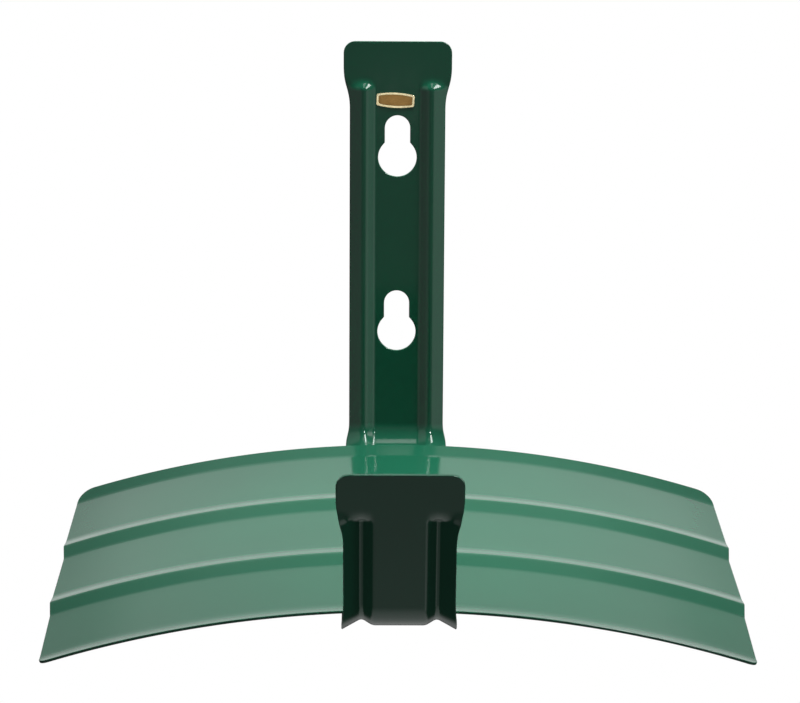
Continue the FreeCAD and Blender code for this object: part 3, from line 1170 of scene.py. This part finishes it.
@dataclass(frozen=True)
class FoilLabel:
    """Blank barrel-shaped foil sticker with a bright border round a printed field."""

    width: float = 15.6
    height: float = 6.3
    end_height: float = 4.6
    corner: float = 0.5
    border: float = 0.8
    border_step: float = 0.05
    edge: float = 0.04
    turn: float = 2.5
    bulge_steps: int = 20
    corner_steps: int = 4

    def outline(self, inset: float) -> list[Vector]:
        """Draw the flat outline of the barrel shape.

        Args:
            inset: Distance inside the label's edge.

        Returns:
            Points round the outline.
        """
        half = self.width / 2
        rise = (self.height - self.end_height) / 2
        radius = (half * half + rise * rise) / (2 * rise)
        edge = half - inset

        def level(x: float) -> float:
            """Height of the bulged side over the middle."""
            return math.sqrt(radius * radius - x * x) - radius + self.height / 2 - inset

        start = edge - self.corner
        side = [Vector((x, level(x))) for x in steps_between(-start, start, 2 * start / self.bulge_steps)]
        first = Vector((start, level(start)))
        knee = Vector((edge, level(edge)))
        last = Vector((edge, level(edge) - self.corner))
        for step in range(self.corner_steps + 1):
            share = step / self.corner_steps
            side.append(first.lerp(knee, share).lerp(knee.lerp(last, share), share))
        upper = [Vector((-point.x, point.y)) for point in reversed(side[-self.corner_steps:-1])] + side
        return upper + [Vector((-point.x, -point.y)) for point in upper]

    def build(self, foil: bpy.types.Material, field: bpy.types.Material) -> bpy.types.Object:
        """Make the label and dress its border and its field.

        Args:
            foil: Finish of the bare border and edges.
            field: Finish of the printed middle.

        Returns:
            The finished label.
        """
        low, high = (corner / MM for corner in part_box(Node.LABEL.value))
        thick = high.y - low.y
        centre = Vector(((low.x + high.x) / 2, high.y, (low.z + high.z) / 2))
        turned = Matrix.Rotation(math.radians(self.turn), 3, "Y")
        rings = ((0.0, 0.0), (0.0, thick - self.edge), (self.edge, thick), (self.border, thick),
                 (self.border + self.border_step, thick - self.border_step))
        points: list[Vector] = []
        for inset, lift in rings:
            points += [centre + turned @ Vector((flat.x, -lift, flat.y)) for flat in self.outline(inset)]
        size = len(points) // len(rings)
        faces = [tuple(range(size))]
        for ring in range(len(rings) - 1):
            for at in range(size):
                here, after = ring * size + at, ring * size + (at + 1) % size
                faces.append((here, here + size, after + size, after))
        faces.append(tuple(reversed(range(len(points) - size, len(points)))))
        mesh = bpy.data.meshes.new("foil_sticker")
        mesh.from_pydata([point * MM for point in points], [], faces)
        mesh.materials.append(foil)
        mesh.materials.append(field)
        mesh.polygons[len(faces) - 1].material_index = 1
        if mesh.polygons[len(faces) - 1].normal.dot(TO_FRONT) < 0:
            mesh.flip_normals()
        return add_piece(mesh, Node.LABEL)


# The studio

NO_GRID = 180.0


@dataclass(frozen=True)
class SoftBox:
    """Flat lamp or lit card that faces the hanger. Its place and size are in metres.

    A honeycomb grid narrows the lamp's beam to an angle in degrees.
    """

    name: str
    place: tuple[float, float, float]
    width: float
    height: float
    brightness: float
    grid: float = NO_GRID
    on_matt: bool = True
    on_gloss: bool = True
    facing: tuple[float, float, float] = (0.0, -0.09, -0.02)

    @property
    def focus(self) -> float:
        """How much brighter a honeycomb grid makes the lamp along its axis, at the same power."""
        half = math.radians(self.grid / 2)
        return 1.0 if self.grid == NO_GRID else math.tan(half) / (math.tan(half) - half)

    def build(self) -> bpy.types.Object:
        """Make the lamp.

        Returns:
            The lamp. Seen in a mirror it has its brightness, where 1 is white.
        """
        place = Vector(self.place)
        lamp = bpy.data.lights.new(self.name, "AREA")
        lamp.shape = "RECTANGLE"
        lamp.size = self.width
        lamp.size_y = self.height
        lamp.spread = math.radians(self.grid)
        lamp.energy = self.brightness * math.pi * self.width * self.height / self.focus
        piece = bpy.data.objects.new(self.name, lamp)
        piece.location = place
        piece.rotation_mode = "QUATERNION"
        piece.rotation_quaternion = (Vector(self.facing) - place).to_track_quat("-Z", "Y")
        piece.visible_camera = False
        piece.visible_diffuse = self.on_matt
        piece.visible_glossy = self.on_gloss
        bpy.context.scene.collection.objects.link(piece)
        return piece


@dataclass(frozen=True)
class Cone:
    """Round part of the surroundings with a soft edge, by the angles from its axis at which it fades."""

    axis: tuple[float, float, float]
    full: float
    none: float


@dataclass(frozen=True)
class RoomPatch:
    """Pale part of the room that shows in the gloss, where several cones overlap."""

    level: float
    cones: tuple[Cone, ...]


ABOVE_FLOOR = Cone((0.0, 0.0, 1.0), 84.0, 92.0)
BEHIND = Cone((0.0, 1.0, 0.0), 60.0, 75.0)
RIGHT_OF_LEFT_SIDE = Cone((1.0, 0.0, 0.0), 110.0, 122.0)
LEFT_OF_RIGHT_SIDE = Cone((-1.0, 0.0, 0.0), 110.0, 122.0)
RIGHT_OF_BACKDROP_EDGE = Cone((1.0, 0.0, 0.0), 105.2, 109.4)
LEFT_OF_BACKDROP_EDGE = Cone((-1.0, 0.0, 0.0), 106.4, 110.6)


@dataclass(frozen=True)
class Studio:
    """Camera, lamps, surroundings and floor.

    The eye is placed in millimetres, and the lamps and the floor in metres.
    """

    image_width: float = 800.0
    focal_pixels: float = 2800.0
    sensor_width: float = 36.0
    eye: tuple[float, float, float] = (-10.577, -1149.588, 177.675)
    pitch: float = 10.9748
    yaw: float = 0.6045
    roll: float = 0.3281
    floor_drop: float = 0.45
    floor_size: float = 30.0
    floor_colour: str = "#f4f4f2"
    floor_fade: tuple[float, float] = (0.15, 0.75)
    floor_glow: float = 0.55
    lamps: tuple[SoftBox, ...] = (
        SoftBox("overhead", (0.14, -0.12, 1.00), 0.14, 0.14, 355.0, 26.0, on_gloss=False,
                facing=(0.015, -0.078, -0.02)),
        SoftBox("ceiling_right", (0.57, -0.50, 0.90), 1.00, 0.34, 16.0, on_matt=False,
                facing=(0.0, -0.50, 0.0)),
        SoftBox("ceiling_middle", (0.05, -0.45, 0.90), 0.14, 0.34, 3.2, on_matt=False,
                facing=(0.0, -0.01, -0.09)),
        SoftBox("rib_light", (0.29, -0.73, 0.39), 0.12, 0.14, 280.0, 6.0, on_matt=False,
                facing=(0.0, -0.01, -0.06)),
        SoftBox("right_window", (1.15, -0.23, 0.26), 0.60, 0.60, 2.8),
        SoftBox("back_fill", (0.0, 1.20, 0.45), 1.00, 1.00, 2.2, on_gloss=False),
        SoftBox("label_card", (0.0092, -1.195, -0.062), 0.036, 0.016, 1.6),
    )
    room: float = 0.05
    room_patches: tuple[RoomPatch, ...] = (
        RoomPatch(0.53, (ABOVE_FLOOR, BEHIND)),
        RoomPatch(0.28, (RIGHT_OF_BACKDROP_EDGE, LEFT_OF_BACKDROP_EDGE, ABOVE_FLOOR, BEHIND)),
        RoomPatch(0.30, (Cone((0.0, 1.0, 0.0), 18.0, 33.0), ABOVE_FLOOR)),
        RoomPatch(0.30, (Cone((0.0, 0.35, 0.94), 15.0, 30.0),)),
        RoomPatch(0.65, (Cone((-0.80, -0.30, 0.50), 12.0, 30.0),)),
        RoomPatch(0.15, (Cone((0.0, -0.98, -0.20), 10.0, 40.0),)),
        RoomPatch(0.75, (Cone((0.0, 0.1, -1.0), 15.0, 62.0), RIGHT_OF_LEFT_SIDE, LEFT_OF_RIGHT_SIDE)),
        RoomPatch(0.50, (Cone((0.42, -0.55, -0.72), 4.0, 12.0),)),
        RoomPatch(0.40, (Cone((-0.70, -0.70, -0.15), 5.0, 28.0),)),
        RoomPatch(0.80, (Cone((0.70, -0.70, -0.15), 5.0, 25.0),)),
    )
    matt_share: float = 0.35

    def camera(self) -> None:
        """Set up the camera at the photograph's viewpoint."""
        pitch, yaw, roll = (math.radians(angle) for angle in (self.pitch, self.yaw, self.roll))
        ahead = Vector((math.sin(yaw) * math.cos(pitch), math.cos(yaw) * math.cos(pitch), -math.sin(pitch)))
        side = Vector((math.cos(yaw), -math.sin(yaw), 0.0))
        above = side.cross(ahead)
        right = side * math.cos(roll) + above * math.sin(roll)
        top = above * math.cos(roll) - side * math.sin(roll)
        lens = bpy.data.cameras.new("studio_camera")
        lens.sensor_fit = "HORIZONTAL"
        lens.sensor_width = self.sensor_width
        lens.lens = self.focal_pixels / self.image_width * self.sensor_width
        camera = bpy.data.objects.new("studio_camera", lens)
        turned = Matrix((right, top, -ahead)).transposed()
        camera.matrix_world = Matrix.Translation(Vector(self.eye) * MM) @ turned.to_4x4()
        bpy.context.scene.collection.objects.link(camera)
        bpy.context.scene.camera = camera

    def world(self) -> None:
        """White backdrop for the camera, and a dim room with pale patches that shows in the gloss."""
        world = bpy.data.worlds.new("studio_room")
        bpy.context.scene.world = world
        world.use_nodes = True
        tree = world.node_tree
        tree.nodes.clear()
        way = add_node(tree, "ShaderNodeTexCoord").outputs["Generated"]
        path = add_node(tree, "ShaderNodeLightPath").outputs
        level: Any = self.room
        for patch in self.room_patches:
            glow: Any = patch.level
            for cone in patch.cones:
                towards = add_node(tree, "ShaderNodeVectorMath",
                                   {0: way, 1: Vector(cone.axis).normalized()}, operation="DOT_PRODUCT")
                inside = add_node(tree, "ShaderNodeMapRange",
                                  {"Value": towards.outputs["Value"],
                                   "From Min": math.cos(math.radians(cone.none)),
                                   "From Max": math.cos(math.radians(cone.full))},
                                  interpolation_type="SMOOTHSTEP")
                glow = add_node(tree, "ShaderNodeMath", {0: glow, 1: inside.outputs["Result"]},
                                operation="MULTIPLY").outputs[0]
            level = add_node(tree, "ShaderNodeMath", {0: level, 1: glow}).outputs[0]
        kept = add_node(tree, "ShaderNodeMapRange",
                        {"Value": path["Is Glossy Ray"], "To Min": self.matt_share, "To Max": 1.0})
        strength = add_node(tree, "ShaderNodeMath", {0: level, 1: kept.outputs["Result"]},
                            operation="MULTIPLY")
        room = add_node(tree, "ShaderNodeBackground",
                        {"Color": WHITE, "Strength": strength.outputs[0]})
        white = add_node(tree, "ShaderNodeBackground", {"Color": WHITE, "Strength": 1.0})
        seen = add_node(tree, "ShaderNodeMath",
                        {0: path["Is Camera Ray"], 1: path["Is Transmission Ray"]}, operation="MAXIMUM")
        mixed = add_node(tree, "ShaderNodeMixShader",
                         {0: seen.outputs[0], 1: room.outputs[0], 2: white.outputs[0]})
        add_node(tree, "ShaderNodeOutputWorld", {"Surface": mixed.outputs[0]})

    def floor(self) -> None:
        """Pale floor well below the hanger, which keeps its shadow and turns white further off."""
        material, tree = new_material("matt_white_floor")
        place = add_node(tree, "ShaderNodeTexCoord").outputs["Object"]
        distance = add_node(tree, "ShaderNodeVectorMath", {0: place}, operation="LENGTH")
        far = add_node(tree, "ShaderNodeMapRange",
                       {"Value": distance.outputs["Value"], "From Min": self.floor_fade[0],
                        "From Max": self.floor_fade[1], "To Min": self.floor_glow},
                       interpolation_type="SMOOTHSTEP")
        pale = add_node(tree, "ShaderNodeBsdfDiffuse", {"Color": linear(self.floor_colour)})
        white = add_node(tree, "ShaderNodeEmission", {"Color": WHITE, "Strength": 1.0})
        mixed = add_node(tree, "ShaderNodeMixShader",
                         {0: far.outputs["Result"], 1: pale.outputs[0], 2: white.outputs[0]})
        add_node(tree, "ShaderNodeOutputMaterial", {"Surface": mixed.outputs[0]})
        half = self.floor_size / 2
        mesh = bpy.data.meshes.new("studio_floor")
        corners = [(-half, -half, 0.0), (half, -half, 0.0), (half, half, 0.0), (-half, half, 0.0)]
        mesh.from_pydata(corners, [], [(0, 1, 2, 3)])
        mesh.materials.append(material)
        floor = bpy.data.objects.new("studio_floor", mesh)
        floor.location.z = -self.floor_drop
        floor.visible_diffuse = False
        floor.visible_glossy = False
        bpy.context.scene.collection.objects.link(floor)

    def build(self) -> None:
        """Set up the whole studio."""
        bpy.context.scene.view_settings.view_transform = "Standard"
        self.camera()
        self.world()
        self.floor()
        for lamp in self.lamps:
            lamp.build()
            log.info("lamp %s", lamp.name)


def main() -> None:
    """Build the hanger's pieces in order, then the studio."""
    logging.basicConfig(level=logging.INFO, format="%(message)s")
    coat = PowderCoat().material()
    strip = HookStrip()
    strip.build(coat)
    HoseSaddle(strip).build(coat)
    FoilLabel().build(BARE_FOIL.material(), BRONZE_PRINT.material())
    Studio().build()


if __name__ == "__main__":
    main()
